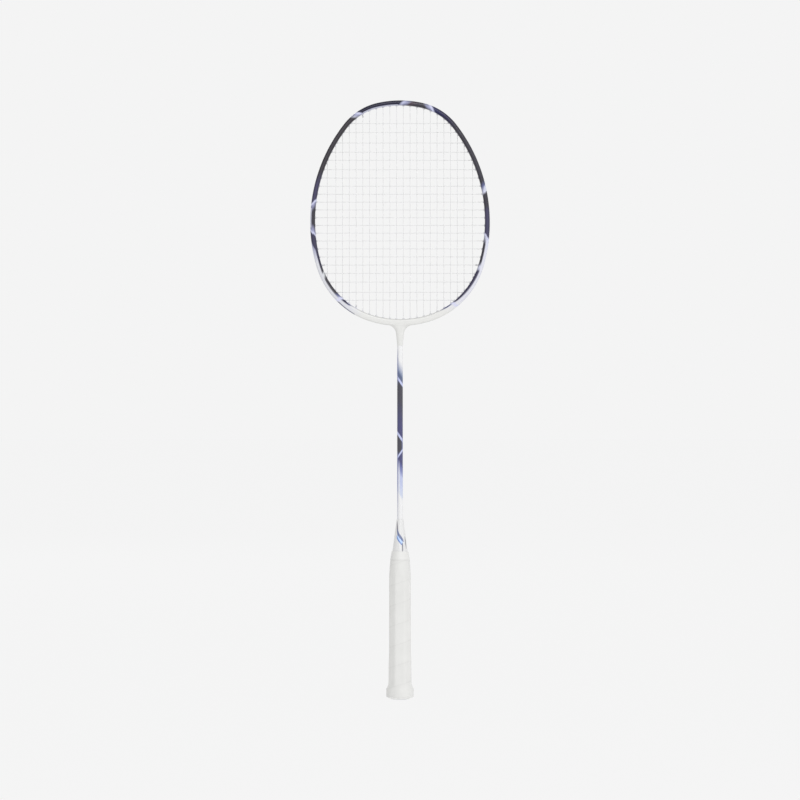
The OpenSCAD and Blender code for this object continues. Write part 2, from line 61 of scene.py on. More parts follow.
def addNode(tree, kind, inputs=None, stops=(), **settings):
    node = tree.nodes.new("ShaderNode" + kind)
    for name, value in settings.items():
        setattr(node, name, value)
    setInputs(tree, node, inputs or {})
    for k, (place, value) in enumerate(stops):
        elements = node.color_ramp.elements
        stop = elements[k] if k < 2 else elements.new(place)
        stop.position = place
        stop.color = linear(value) if isinstance(value, str) else (value, value, value, 1)
    return node


def startMaterial(name, values):
    material = bpy.data.materials.new(name)
    material.use_nodes = True
    tree = material.node_tree
    setInputs(tree, tree.nodes["Principled BSDF"], values)
    add = partial(addNode, tree)
    return material, add, add("TexCoord").outputs["Object"]


def finishMaterial(material, colour, height=None, strength=0.0, depth=0.0):  # depth of the relief in mm
    tree = material.node_tree
    ends = {"Base Color": colour}
    if height is not None:
        ends["Normal"] = addNode(tree, "Bump", {"Height": height, "Strength": strength, "Distance": depth * mm})
    setInputs(tree, tree.nodes["Principled BSDF"], ends)
    return material


# two tones of one pattern, which also gives the relief (strength, depth in mm)
def twoTone(name, values, kind, pattern, tones, relief=None, stretch=None, output="Fac", **settings):
    material, add, place = startMaterial(name, values)
    if stretch:
        place = add("Mapping", {0: place, 3: stretch})
    figure = add(kind, {"Vector": place, **pattern}, **settings).outputs[output]
    tone = add("ValToRGB", {0: figure}, tones)
    return finishMaterial(material, tone, figure, *relief) if relief else finishMaterial(material, tone)


# lacquer over colour: flakes or flow from the darkest to the lightest tone, and orange peel on top
def lacquered(material, place, colour, flakeSize, darkest, lightest, peelSize, peel):
    add = partial(addNode, material.node_tree)
    flake = add("TexNoise", {"Vector": place, "Scale": 1 / (flakeSize * mm)})
    flakeTone = add("MapRange", {0: flake, 3: darkest, 4: lightest})
    toned = add("Mix", {0: 1.0, 6: colour, 7: flakeTone}, data_type="RGBA", blend_type="MULTIPLY")
    ripple = add("TexNoise", {"Vector": place, "Scale": 1 / (peelSize * mm)})
    return finishMaterial(material, toned, ripple, peel, 0.03)


# moves a place along by the distance across, as far and to the side that the lean says there
def slantedPlace(add, along, across, lean, mostLean):
    share = add("ValToRGB", {0: along}, [(p, (v + mostLean) / (2 * mostLean)) for p, v in lean])
    share.color_ramp.interpolation = "CONSTANT"
    amount = add("Math", {0: share, 1: 2 * mostLean, 2: -mostLean}, operation="MULTIPLY_ADD")
    return add("Math", {0: across, 1: amount, 2: along}, operation="MULTIPLY_ADD")


def slashStops(slashes, place):  # full strength over the width, soft for a quarter of it on both sides
    stops = [(0.0, 0.0)]
    for middle, half in slashes:
        stops += [(place(middle - half * 1.25), 0.0), (place(middle - half), 1.0),
                  (place(middle + half), 1.0), (place(middle + half * 1.25), 0.0)]
    return stops


# camera square to the face, far enough for the near-parallel lines of a product shot
view = {"lens": 240, "sensor": 36, "width": 0.9015, "aim": (0, 0, 0.3375)}
camera = bpy.data.objects.new("camera", bpy.data.cameras.new("camera"))
scene.collection.objects.link(camera)
camera.data.lens = view["lens"]
camera.data.sensor_width = view["sensor"]
distance = view["width"] * view["lens"] / view["sensor"]
camera.location = (0, -distance, view["aim"][2])
camera.rotation_euler = (math.radians(90), 0, 0)
scene.camera = camera
print("camera at", round(distance, 3), "m")


def between(a, b, t):
    return a + (b - a) * t


def unitRing(sides):
    return [(math.cos(math.tau * k / sides), math.sin(math.tau * k / sides)) for k in range(sides)]


def turned(profile):  # rings of a turned form from (radius, height)
    return [[(r * c, r * s, z) for c, s in unitRing(turnSides)] for r, z in profile]


def skin(rings, offset=0, capped=False, closed=False):
    n, count = len(rings[0]), len(rings)
    faces = []
    for i in range(count if closed else count - 1):
        a, b = offset + i * n, offset + (i + 1) % count * n
        faces += [(a + k, a + (k + 1) % n, b + (k + 1) % n, b + k) for k in range(n)]
    if capped:
        faces.append([offset + k for k in range(n)][::-1])
        faces.append([offset + (count - 1) * n + k for k in range(n)])
    return faces


def makePiece(name, points, faces, material, slot, node, sharp=40, values=None):
    mesh = bpy.data.meshes.new(name)
    mesh.from_pydata([[c * mm for c in p] for p in points], [], faces)
    for key, numbers in (values or {}).items():
        mesh.attributes.new(key, "FLOAT", "POINT").data.foreach_set("value", numbers)
    work = bmesh.new()
    work.from_mesh(mesh)
    bmesh.ops.recalc_face_normals(work, faces=work.faces)
    work.to_mesh(mesh)
    work.free()
    mesh.materials.append(material)
    mesh.shade_smooth()
    mesh.set_sharp_from_angle(angle=math.radians(sharp))
    piece = bpy.data.objects.new(name, mesh)
    scene.collection.objects.link(piece)
    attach(piece, "root")
    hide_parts(node)
    print("piece", name, len(points), "points")


def pointsOf(rings):
    return [p for ring in rings for p in ring]


def makeSkinned(name, rings, material, slot, node, sharp=40, **ends):
    makePiece(name, pointsOf(rings), skin(rings, **ends), material, slot, node, sharp)


# the hoop's two outlines, each five tangent arcs a side, angles run from the crown
hoop = {
    "top": 675, "bottom": 421, "width": 202.4, "band": 5.6, "throatBand": 7.6, "depth": 10.4,
    "crownRadius": 115, "throatRadius": 115, "edge": 2.2, "grooveWidth": 4, "grooveDepth": 1.5,
    "turns": (0, 13, 52, 106, 165, 180), "step": 1.8, "middle": 548}


def hoopArcs(inset, throatInset):  # (radius, first angle, last angle, centre) of each arc, from the crown down
    halfWidth, top, bottom = hoop["width"] / 2 - inset, hoop["top"] - inset, hoop["bottom"] + throatInset
    crown, throat = hoop["crownRadius"] - inset, hoop["throatRadius"] - inset
    s = [math.sin(math.radians(t)) for t in hoop["turns"]]
    c = [math.cos(math.radians(t)) for t in hoop["turns"]]
    p2, q2 = (halfWidth - crown * s[1]) / (s[2] - s[1]), (s[2] - 1) / (s[2] - s[1])
    p4, q4 = (throat * s[4] - halfWidth) / (s[4] - s[3]), (1 - s[3]) / (s[4] - s[3])
    k = top - bottom - crown - throat + crown * c[1] - throat * c[4]
    side = (k - p2 * (c[1] - c[2]) - p4 * (c[3] - c[4])) / (
        q2 * (c[1] - c[2]) + c[2] - c[3] + q4 * (c[3] - c[4]))
    radii = [crown, p2 + q2 * side, side, p4 + q4 * side, throat]
    arcs, centre = [], (0, top - crown)
    for i, radius in enumerate(radii):
        if i:
            step = radii[i - 1] - radius
            centre = (centre[0] + step * s[i], centre[1] + step * c[i])
        arcs.append((radius, hoop["turns"][i], hoop["turns"][i + 1], *centre))
    return arcs


outerArcs = hoopArcs(0, 0)
innerArcs = hoopArcs(hoop["band"], hoop["throatBand"])


def onArcs(arcs, angle, out=0.0):  # (x, z) at a signed angle from the crown
    turn, side = abs(angle), -1 if angle < 0 else 1
    radius, start, end, x, z = next(a for a in arcs if turn <= a[2] + 1e-9)
    turn = math.radians(turn)
    return side * (x + (radius + out) * math.sin(turn)), z + (radius + out) * math.cos(turn)


hoopPaint = {
    "navy": "#1d1a3c", "royal": "#1e2049", "indigo": "#393650", "charcoal": "#302e37", "graphite": "#312e34",
    "ink": "#0b0928", "dusk": "#333048", "plum": "#41343e", "slate": "#565b82", "mist": "#8a8daa",
    "pearl": "#b7b9cb", "white": "#dadad8", "flash": "#cacce6", "rimTone": "#63647c",
    # degrees of lean for each mm round the section, counted from the middle of its front
    "slant": 0.45, "mostLean": 2, "frontMiddle": 7.06, "girthSpan": 16,
    # mm off the crest of the section, from and to, and the strength of the painted sheen at both: painted highlight
    # on the crest, painted shade on the shoulders
    "paintedSheen": (0.3, 2.4, 1.3, 0.8),
    # angle from the crown, colour there
    "leftBody": [
        (-180, "white"), (-152.2, "white"), (-150.8, "slate"), (-149.6, "navy"), (-145.8, "navy"),
        (-145.2, "pearl"), (-144.2, "mist"), (-142.6, "slate"), (-140.6, "charcoal"), (-131.3, "charcoal"),
        (-130.5, "#c4c6ca"), (-129.1, "#c4c6ca"), (-128.3, "charcoal"), (-119, "navy"), (-113, "dusk"),
        (-103.2, "dusk"), (-102.2, "#9092b0"), (-99.4, "#75758f"), (-97, "charcoal"), (-88.2, "charcoal"),
        (-86, "#75758f"), (-83.2, "#9092b0"), (-82, "indigo"), (-70, "indigo"), (-62, "graphite"),
        (-26, "graphite"), (-25, "pearl"), (-24.6, "mist"), (-22.6, "mist"), (-21.8, "ink"), (0, "ink")],
    "rightBody": [
        (0.6, "ink"), (1.2, "mist"), (3.4, "mist"), (5.4, "plum"), (9.5, "charcoal"), (12.8, "charcoal"),
        (14.6, "mist"), (16.8, "mist"), (17.8, "royal"), (25, "navy"), (34, "charcoal"), (69, "charcoal"),
        (72, "slate"), (75, "pearl"), (76.4, "pearl"), (77.2, "charcoal"), (85.5, "charcoal"), (88, "indigo"),
        (105, "indigo"), (106.2, "pearl"), (111, "charcoal"), (122, "charcoal"), (123.2, "pearl"),
        (125, "pearl"), (125.8, "dusk"), (147.4, "dusk"), (148.4, "pearl"), (149.8, "pearl"), (150.6, "slate"),
        (154, "slate"), (157, "white"), (180, "white")],
    # how far round the section the body colour reaches before the pale outer band, in mm
    "leftEdge": [
        (-180, 5), (-158, 5.6), (-152, 6.3), (-146, 6.6), (-144, 6.9), (-131, 7.0), (-128, 6.7), (-120, 6.5),
        (-113, 6.8), (-107.5, 13), (-102, 13), (-101, 8.5), (-85, 8.5), (-83.8, 13), (0, 13)],
    "rightEdge": [
        (0, 13), (71, 13), (73, 7.8), (76, 7.4), (76.6, 13), (105, 13), (106, 7.2), (108, 6.9), (122, 6.8),
        (124, 7.0), (126, 7.3), (134, 7.05), (141, 6.8), (147, 6.4), (151, 5.8), (180, 5)],
    "outerBand": [
        (-180, "white"), (-160, "white"), (-152, "#d2d3d9"), (-142, "#d0d1d7"), (-122, "#d0d1d7"),
        (-118, "#c3c4d1"), (-113.5, "#a2a4bb"), (-109, "slate"), (-102, "#c3c4d2"), (-86, "#bfc0ce"),
        (70, "#c6c9da"), (106, "#c9ccde"), (114, "#d2d3de"), (145, "#d3d3dc"), (155, "white")],
    # pale lining along the inside, up to this far round
    "lining": [
        (-180, 0), (-158, 0), (-155, 4.7), (-147.5, 4.5), (-145.6, 0), (-22.6, 0), (-21.8, 5.6), (0, 5.2),
        (1, 0)],
    # dark line along the outer shoulder, from this far round
    "rim": [(-180, 16), (-161, 16), (-157, 9.3), (-146.2, 8.8), (-145.6, 16), (180, 16)],
    # slashes: angle, half width in degrees
    "slashes": [
        (-144.8, 0.5), (-102.6, 0.5), (-82.5, 0.5), (-22.2, 0.45), (0.9, 0.45), (17.3, 0.5), (76.7, 0.5),
        (105.6, 0.55), (124.4, 0.5), (149.1, 0.45)],
    # how far and which way the paint leans, changed in the middle of a panel
    "lean": [(-180, -1), (-137, 1), (-124, -1.8), (-92, 1.1), (-10, -1), (9.4, 1), (93, -1), (115, 1)]}


def hoopPlace(angle):
    return angle / 360 + 0.5


def lacqueredHoop():
    # polyurethane lacquer over painted carbon: crisp colour edges under a smooth clear coat, faint orange peel
    # about 1.5 mm wide; the surround is white on all sides, so a low specular level keeps the paint dark
    paint = hoopPaint
    material, add, place = startMaterial("lacquered_painted_carbon", {
        "Roughness": 0.3, "IOR": 1.47, "Coat Weight": 0.15, "Coat Roughness": 0.15, "Specular IOR Level": 0.3})
    angle, girth = [add("Attribute", attribute_name=key).outputs["Fac"] for key in ("hoopPlace", "girth")]
    slant = paint["slant"] / 360
    across = add("Math", {0: girth, 1: slant, 2: -paint["frontMiddle"] * slant}, operation="MULTIPLY_ADD")
    turn = slantedPlace(add, angle, across, [(hoopPlace(a), v) for a, v in paint["lean"]], paint["mostLean"])
    ramps = {}
    for key in ("leftBody", "rightBody", "leftEdge", "rightEdge", "outerBand", "lining", "rim"):
        ramps[key] = add("ValToRGB", {0: turn}, [
            (hoopPlace(a), paint.get(v, v) if isinstance(v, str) else v / paint["girthSpan"])
            for a, v in paint[key]])
    rightSide = add("Math", {0: turn, 1: hoopPlace(0)}, operation="GREATER_THAN")
    body, edge = [add("Mix", {0: rightSide, 6: ramps["left" + part], 7: ramps["right" + part]}, data_type="RGBA")
                  for part in ("Body", "Edge")]
    # painted sheen: the paint a shade lighter over the crest of the section as a painted highlight, and darker on
    # both shoulders as painted shade
    offCrest = add("Math", {0: girth, 1: paint["frontMiddle"]}, operation="SUBTRACT")
    farCrest = add("Math", {0: offCrest}, operation="ABSOLUTE")
    paintedSheen = add("MapRange", {0: farCrest, **dict(enumerate(paint["paintedSheen"], 1))})
    coat = add("Mix", {0: 1.0, 6: body, 7: paintedSheen}, data_type="RGBA", blend_type="MULTIPLY")
    # softness in mm, where a minus sign paints this side of the reach
    for reach, soft, tone in ((edge, 0.35, ramps["outerBand"]), (ramps["lining"], -0.3, paint["pearl"]),
                              (ramps["rim"], 0.3, paint["rimTone"])):
        past = add("Math", {0: reach, 1: -paint["girthSpan"], 2: girth}, operation="MULTIPLY_ADD")
        share = add("MapRange", {0: past, 1: -soft, 2: soft})
        coat = add("Mix", {0: share, 6: coat, 7: tone}, data_type="RGBA")
    early, late = [add("ValToRGB", {0: turn}, slashStops(part, hoopPlace))  # a ramp holds 32 stops at most
                   for part in (paint["slashes"][:6], paint["slashes"][6:])]
    slash = add("Math", {0: early, 1: late}, operation="ADD", use_clamp=True)
    striped = add("Mix", {0: slash, 6: coat, 7: paint["flash"]}, data_type="RGBA")
    # pearl flakes are under 0.1 mm, drawn at 0.6 mm so that they show
    return lacquered(material, place, striped, 0.6, 0.9, 1.08, 1.5, 0.12)


def makeHoop():
    edge, half, groove = hoop["edge"], hoop["depth"] / 2, hoop["grooveWidth"] / 2
    deep = hoop["grooveDepth"]
    quarter = [math.radians(15 * k) for k in range(7)]
    corner = [(edge - edge * math.cos(a), half - edge + edge * math.sin(a)) for a in quarter]
    # half a section from the middle of the inside, over the front, past the groove's rounded lip to its floor
    inner = [(0.0, 0.0), (0.0, 1.0), (0.0, 2.0)] + corner
    outer = corner[::-1] + [
        (0.0, 2.55), (0.02, groove + 0.2), (0.1, groove + 0.06), (0.3, groove), (deep - 0.3, groove),
        (deep - 0.08, groove - 0.08), (deep, groove - 0.3), (deep, 0.9), (deep, 0.0)]
    flat = inner + [(hoop["band"] - s, y) for s, y in outer]
    girths = [0.0]
    for p, q in zip(flat, flat[1:]):
        girths.append(girths[-1] + math.dist(p, q))
    angles = []
    for radius, start, end, x, z in outerArcs:
        count = max(2, round(math.radians(end - start) * radius / hoop["step"]))
        angles += [start + (end - start) * k / count for k in range(count)]
    angles = [-180.0] + [-a for a in angles[:0:-1]] + angles + [180.0]
    rings, along, around = [], [], []
    for angle in angles:
        normal = (math.sin(math.radians(angle)), math.cos(math.radians(angle)))
        inside, outside = onArcs(innerArcs, angle), onArcs(outerArcs, angle)
        front = [(inside[0] + s * normal[0], -y, inside[1] + s * normal[1]) for s, y in inner]
        front += [(outside[0] - s * normal[0], -y, outside[1] - s * normal[1]) for s, y in outer]
        rings.append(front + [(x, -y, z) for x, y, z in front[-2:0:-1]])
        polar = math.degrees(math.atan2(inside[0] + outside[0], inside[1] + outside[1] - 2 * hoop["middle"]))
        along += [hoopPlace(math.copysign(polar, angle))] * len(rings[-1])
        around += girths + girths[-2:0:-1]
    return rings, along, around


throat = {
    "neckBottom": 399, "bottomRadius": 3.3, "neckRadius": 4.6, "flareRadius": 10, "flareHeight": 411.9,
    "flareTurn": 86, "depth": 4.3, "topDepth": 5.05, "sides": 64, "neckSteps": 8, "flareSteps": 18}


def makeThroat():
    outline = []  # half width, height, half depth, power of the section: 2 is round, more is squarer
    for k in range(throat["neckSteps"] + 1):  # neck, easing into the flare
        t = k / throat["neckSteps"]
        ease = t * t * (3 - 2 * t)
        outline.append((between(throat["bottomRadius"], throat["neckRadius"], 0.4 * t + 0.6 * ease * t),
                        between(throat["neckBottom"], throat["flareHeight"], t),
                        between(throat["bottomRadius"], throat["depth"], ease), 2 + 0.4 * t))
    for k in range(1, throat["flareSteps"] + 1):  # quarter turn out to the hoop's underside
        t = k / throat["flareSteps"]
        a = math.radians(throat["flareTurn"] * t)
        outline.append((throat["neckRadius"] + throat["flareRadius"] * (1 - math.cos(a)),
                        throat["flareHeight"] + throat["flareRadius"] * math.sin(a),
                        between(throat["depth"], throat["topDepth"], t * t), 2.4 + 0.6 * t))
    last = outline[-1]
    outline.append((last[0] - 0.5, last[1] + 2.2, last[2] - 0.4, last[3]))  # ends inside the hoop
    return [[(wide * math.copysign(abs(c) ** (2 / power), c), deep * math.copysign(abs(s) ** (2 / power), s), z)
             for c, s in unitRing(throat["sides"])] for wide, z, deep, power in outline]


hoopRings, hoopAlong, hoopGirth = makeHoop()
throatRings = makeThroat()
hoopPoints, throatPoints = pointsOf(hoopRings), pointsOf(throatRings)
makePiece("hoop_and_throat", hoopPoints + throatPoints,
          skin(hoopRings) + skin(throatRings, len(hoopPoints), True),
          lacqueredHoop(), "frame_lacquer", "frame", 50,
          {"hoopPlace": hoopAlong + [0.0] * len(throatPoints),
           "girth": hoopGirth + [hoopPaint["frontMiddle"]] * len(throatPoints)})


# strings: where every hole lies, then one woven length for the mains and one for the crosses
strings = {
    "gauge": 0.7, "sides": 8, "mainPitch": 7.6, "mainEdgeGap": 2, "halfMains": 11, "crosses": 22,
    "crossTop": 26, "crossBottom": 29, "spread": 0.08, "lean": 0.022, "leastGap": 3.8,
    "mainWave": 0.2, "crossWave": 0.5, "sideRoom": 1.5, "endRoom": 1, "steps": 6, "lane": 0.4,
    "grooveStep": 1.25, "hitchTurns": 2.25, "hitchSteps": 14, "hitchRadius": 0.76, "hitchPitch": 1.0,
    "hitchStart": 0.5, "hitchRoom": 5}
grommet = {"reach": 0.9, "barrel": 1.3, "bore": 0.95, "flange": 1.7, "flangeThick": 0.45, "sides": 20}
stringDepth = grommet["flangeThick"] + strings["gauge"] / 2 + 0.05 - hoop["grooveDepth"]


def tipPoint(angle):  # (x, z) of a grommet's tip inside the hoop
    return onArcs(innerArcs, angle, -grommet["reach"])


def bisect(test, low, high):  # angle at which a rising test turns positive
    for k in range(50):
        middle = (low + high) / 2
        low, high = (low, middle) if test(middle) > 0 else (middle, high)
    return (low + high) / 2


def reachOf(angle, out):  # along the hole's axis to the outline moved out, and the angle met there
    turn = math.radians(angle)
    tip, way = tipPoint(angle), (math.sin(turn), math.cos(turn))
    for radius, start, end, x, z in outerArcs:
        v = (tip[0] - x, tip[1] - z)
        b = v[0] * way[0] + v[1] * way[1]
        length = -b + math.sqrt(max(0.0, b * b - v[0] ** 2 - v[1] ** 2 + (radius + out) ** 2))
        met = math.degrees(math.atan2(v[0] + length * way[0], v[1] + length * way[1]))
        if start - 0.001 <= met <= end:
            return length, met


mainX = [strings["mainPitch"] * (k + 0.5) for k in range(strings["halfMains"])]
mainX[-1] += strings["mainEdgeGap"]
widest = bisect(lambda a: tipPoint(a + 0.01)[0] < tipPoint(a)[0], 60, 120)
mainTop = [bisect(lambda a: tipPoint(a)[0] - x, 0, widest) for x in mainX]
mainBottom = [bisect(lambda a: x - tipPoint(a)[0], widest, 180) for x in mainX]
highest = hoop["top"] - strings["crossTop"]
lowest = hoop["bottom"] + strings["crossBottom"]
crossAngles = []
for k in range(strings["crosses"]):
    s = 1 - 2 * k / (strings["crosses"] - 1)
    s = s * (1 - strings["spread"]) + strings["spread"] * s ** 3 - strings["lean"] * (1 - s * s)
    z = (highest + lowest) / 2 + s * (highest - lowest) / 2
    angle = bisect(lambda a: z - tipPoint(a)[1], 0, 180)
    near = [m for m in mainTop + mainBottom if math.dist(tipPoint(m), tipPoint(angle)) < strings["leastGap"]]
    if near:  # move along the hoop, clear of a main's grommet
        radius = next(a for a in innerArcs if angle <= a[2])[0] - grommet["reach"]
        angle = near[0] + math.copysign(math.degrees(strings["leastGap"] / radius), angle - near[0])
    crossAngles.append(angle)
mains = [(-x, -mainTop[k], -mainBottom[k]) for k, x in reversed(list(enumerate(mainX)))]
mains += [(x, mainTop[k], mainBottom[k]) for k, x in enumerate(mainX)]
crosses = [(tipPoint(a)[1], tipPoint(a)[0], a) for a in crossAngles]


def eased(keys):  # smooth wave through (place, depth) pairs
    out = []
    for (p, d), (q, e) in zip(keys, keys[1:]):
        for k in range(strings["steps"]):
            t = k / strings["steps"]
            out.append((between(p, q, t), between(d, e, 0.5 - 0.5 * math.cos(math.pi * t))))
    return out + [keys[-1]]


def meet(main, cross):  # whether two strings pass one another inside the hoop
    (x, top, bottom), (z, reach, angle), room = main, cross, strings["endRoom"]
    return abs(x) < reach - strings["sideRoom"] and tipPoint(bottom)[1] + room < z < tipPoint(top)[1] - room


def mainSpan(i):  # bottom to top
    x, top, bottom = mains[i]
    keys = [(crosses[k][0], strings["mainWave"] * (-1) ** (i + k))
            for k in reversed(range(len(crosses))) if meet(mains[i], crosses[k])]
    return [(x, d, z) for z, d in eased([(tipPoint(bottom)[1], 0.0)] + keys + [(tipPoint(top)[1], 0.0)])]


def crossSpan(k):  # left to right
    z, reach, angle = crosses[k]
    keys = [(mains[i][0], -strings["crossWave"] * (-1) ** (i + k))
            for i in range(len(mains)) if meet(mains[i], crosses[k])]
    return [(x, d, z) for x, d in eased([(-reach, 0.0)] + keys + [(reach, 0.0)])]


def cutCorners(path):  # cuts a quarter off both ends of each stretch, twice
    for k in range(2):
        cut = [path[0]]
        for p, q in zip(path, path[1:]):
            cut += [tuple(between(a, b, t) for a, b in zip(p, q)) for t in (0.25, 0.75)]
        path = cut + [path[-1]]
    return path


def outsideRun(first, second, lane):  # out of one hole, along the groove and in at the next
    ends = []
    for angle in (first, second):
        length, met = reachOf(abs(angle), stringDepth)
        turn, (x, z) = math.radians(angle), tipPoint(angle)
        stops = [(x + math.sin(turn) * length * f, lane * f, z + math.cos(turn) * length * f)
                 for f in (0.0, 0.55, 1.0)]
        ends.append((stops, math.copysign(met, angle)))
    (way, start), (back, stop) = ends
    count = max(2, round(abs(stop - start) / strings["grooveStep"]))
    groove = []
    for k in range(1, count):
        x, z = onArcs(outerArcs, start + (stop - start) * k / count, stringDepth)
        groove.append((x, lane, z))
    return cutCorners(way + groove + back[::-1])


def hitch(angle, way):  # turns round the string that leaves this hole
    x, z = tipPoint(angle)
    path = []
    for k in range(2, int(strings["hitchTurns"] * strings["hitchSteps"])):
        a = math.tau * k / strings["hitchSteps"]
        run = strings["hitchStart"] + k / strings["hitchSteps"] * strings["hitchPitch"]
        off = strings["hitchRadius"] * math.sin(a)
        path.append((x + way[0] * run + way[1] * off, strings["hitchRadius"] * math.cos(a),
                     z + way[1] * run - way[0] * off))
    return path


def tube(path, radius, sides):  # round cord whose ring is carried along without twist
    rings = []
    side = None
    for i, p in enumerate(path):
        q, r = path[max(0, i - 1)], path[min(len(path) - 1, i + 1)]
        way = [b - a for a, b in zip(q, r)]
        size = math.hypot(*way)
        way = [c / size for c in way]
        side = side or [way[1] * 0.2 - way[2], way[2] * 0.3 - way[0] * 0.2, way[0] - way[1] * 0.3]
        lean = sum(a * b for a, b in zip(side, way))
        side = [a - lean * b for a, b in zip(side, way)]
        size = math.hypot(*side)
        side = [c / size for c in side]
        up = [way[1] * side[2] - way[2] * side[1], way[2] * side[0] - way[0] * side[2],
              way[0] * side[1] - way[1] * side[0]]
        rings.append([tuple(p[n] + radius * (c * side[n] + s * up[n]) for n in range(3))
                      for c, s in unitRing(sides)])
    return rings


# one length, tied off at both ends, with every second span run back
def laced(spans, holes, lane, firstTie, firstWay, lastTie, lastWay):
    runs = [hitch(firstTie, firstWay)[::-1], outsideRun(firstTie, holes[0][0], lane)]
    for i, span in enumerate(spans):
        back = i % 2
        runs.append(span[::-1] if back else span)
        if i < len(spans) - 1:
            runs.append(outsideRun(holes[i][1 - back], holes[i + 1][1 - back], lane))
    runs += [outsideRun(holes[-1][len(spans) % 2], lastTie, lane), hitch(lastTie, lastWay)]
    path = []
    for run in runs:  # laid end to end, shared points kept once
        path += run[1:] if path and math.dist(path[-1], run[0]) < 0.02 else run
    return path


room = strings["hitchRoom"]
tieCross = max(a for a in crossAngles if a < mainBottom[-1] and tipPoint(a)[0] > mainX[-1] + room)
firstTie = max(a for a in mainTop if tipPoint(a)[1] > crosses[0][0] + room)
lastTie = min(a for a in mainBottom if tipPoint(a)[1] < crosses[-1][0] - room)
mainPath = laced([mainSpan(i) for i in range(len(mains))], [(bottom, top) for x, top, bottom in mains],
                 -strings["lane"], -tieCross, (1, 0), tieCross, (-1, 0))
crossPath = laced([crossSpan(k) for k in range(len(crosses))], [(-a, a) for a in crossAngles],
                  strings["lane"], -firstTie, (0, -1), -lastTie, (0, 1))

# multifilament nylon with a braided, clear-coated wrap: white, with fine diagonal ridges;
# the wrap's filaments are about 0.05 mm apart, drawn at 0.5 mm so that they show
nylonString = twoTone(
    "braided_coated_nylon", {"Roughness": 0.38, "IOR": 1.53, "Coat Weight": 0.2, "Coat Roughness": 0.2},
    "TexWave", {"Scale": wavePeriod / (0.5 * mm), "Distortion": 0.6}, [(0.0, "#d6d6d7"), (1.0, "#e2e2e2")],
    (0.25, 0.03), bands_direction="DIAGONAL")
for node, path in (("main_string", mainPath), ("cross_string", crossPath)):
    makeSkinned(node + "_lacing", tube(path, strings["gauge"] / 2, strings["sides"]), nylonString, "string_nylon",
                node, 60, capped=True)
    print(node, "length", round(sum(math.dist(p, q) for p, q in zip(path, path[1:]))), "mm")


def makeGrommets(angles):
    points, faces = [], []
    b, r, f, t = grommet["barrel"], grommet["bore"], grommet["flange"], grommet["flangeThick"]
    for angle in angles:
        length = reachOf(abs(angle), -hoop["grooveDepth"])[0]
        # bore, rounded tip, barrel, flange in the groove and back to the bore
        profile = [(r, length + t - 0.1), (r, 0.25), (r + 0.06, 0.08), (r + 0.17, 0.0), (b - 0.1, 0.06),
                   (b, 0.22), (b, length), (f - 0.12, length), (f, length + 0.12), (f, length + t - 0.14),
                   (f - 0.14, length + t), (r + 0.12, length + t)]
        turn = math.radians(angle)
        x, z = tipPoint(angle)
        out, flat = (math.sin(turn), math.cos(turn)), (math.cos(turn), -math.sin(turn))
        rings = [[(x + out[0] * run + flat[0] * radius * c, radius * s, z + out[1] * run + flat[1] * radius * c)
                  for c, s in unitRing(grommet["sides"])] for radius, run in profile]
        faces += skin(rings, len(points), closed=True)
        points += pointsOf(rings)
    return points, faces


# injection-moulded nylon: satin, with a soft mottle from the mould about 0.8 mm wide
paleNylon = twoTone(
    "moulded_nylon", {"Roughness": 0.45, "IOR": 1.53}, "TexNoise", {"Scale": 1 / (0.8 * mm)},
    [(0.3, "#cacad0"), (0.7, "#d7d7dc")], (0.2, 0.02))
for group, angles in (("crown", [s * a for s in (-1, 1) for a in mainTop]),
                      ("throat", [s * a for s in (-1, 1) for a in mainBottom]),
                      ("left", [-a for a in crossAngles]), ("right", crossAngles)):
    makePiece("grommet_set_" + group, *makeGrommets(angles), paleNylon, "grommet_nylon", "grommets_" + group, 50)


# shaft: painted tube with slanted stripes and a long fade into white
shaft = {
    "radius": 3.2, "bore": 1.8, "bottom": 74, "top": 399, "ringStep": 5,
    "slope": 1.5, "paintFrom": 150, "paintTo": 400,
    "white": "#e2e2e3", "haze": "#bcbfcb", "steel": "#8e98b0", "storm": "#5c6684", "charcoal": "#484750",
    "indigo": "#4a4a72", "violet": "#5f6396", "blue": "#8188b6", "sky": "#b6bddb", "pale": "#c6cddf",
    "lilac": "#bcc2e4", "line": "#6f77a8",
    # height, colour there
    "body": [
        (150, "white"), (228, "white"), (232, "pale"), (246, "sky"), (252, "sky"), (259, "blue"),
        (265, "violet"), (269.5, "indigo"), (276, "indigo"), (280, "charcoal"), (293, "charcoal"),
        (297, "indigo"), (310, "indigo"), (338, "charcoal"), (356, "charcoal"), (359, "storm"), (365.5, "storm"),
        (369.5, "steel"), (374.5, "haze"), (382, "white"), (400, "white")],
    "slashes": [(277, 1.5), (296, 1.6), (358.6, 1.6)],
    "lean": [(150, 1), (270, -1), (286, 1), (400, 1)],
    # thin lines: mm across where each starts and where it is full; the strip counts from its own middle
    "leftReach": (-1.5, -2.5), "rightReach": (1.5, 2.5), "stripReach": (0.9, 0.4), "stripMiddle": -1.15,
    # height, strength of the line there
    "leftLine": [
        (150, 0.1), (215, 0.25), (226, 0.5), (258, 0.75), (276, 0.75), (281, 0), (353, 0), (358, 0.6),
        (384, 0.7), (392, 0.3), (399, 0)],
    "rightLine": [(150, 0), (280, 0), (282, 0.55), (293, 0.6), (295, 0), (400, 0)],
    "stripLine": [(150, 0), (224, 0), (232, 0.7), (258, 0.75), (266, 0.35), (271, 0)]}


def shaftPlace(z):
    return (z - shaft["paintFrom"]) / (shaft["paintTo"] - shaft["paintFrom"])


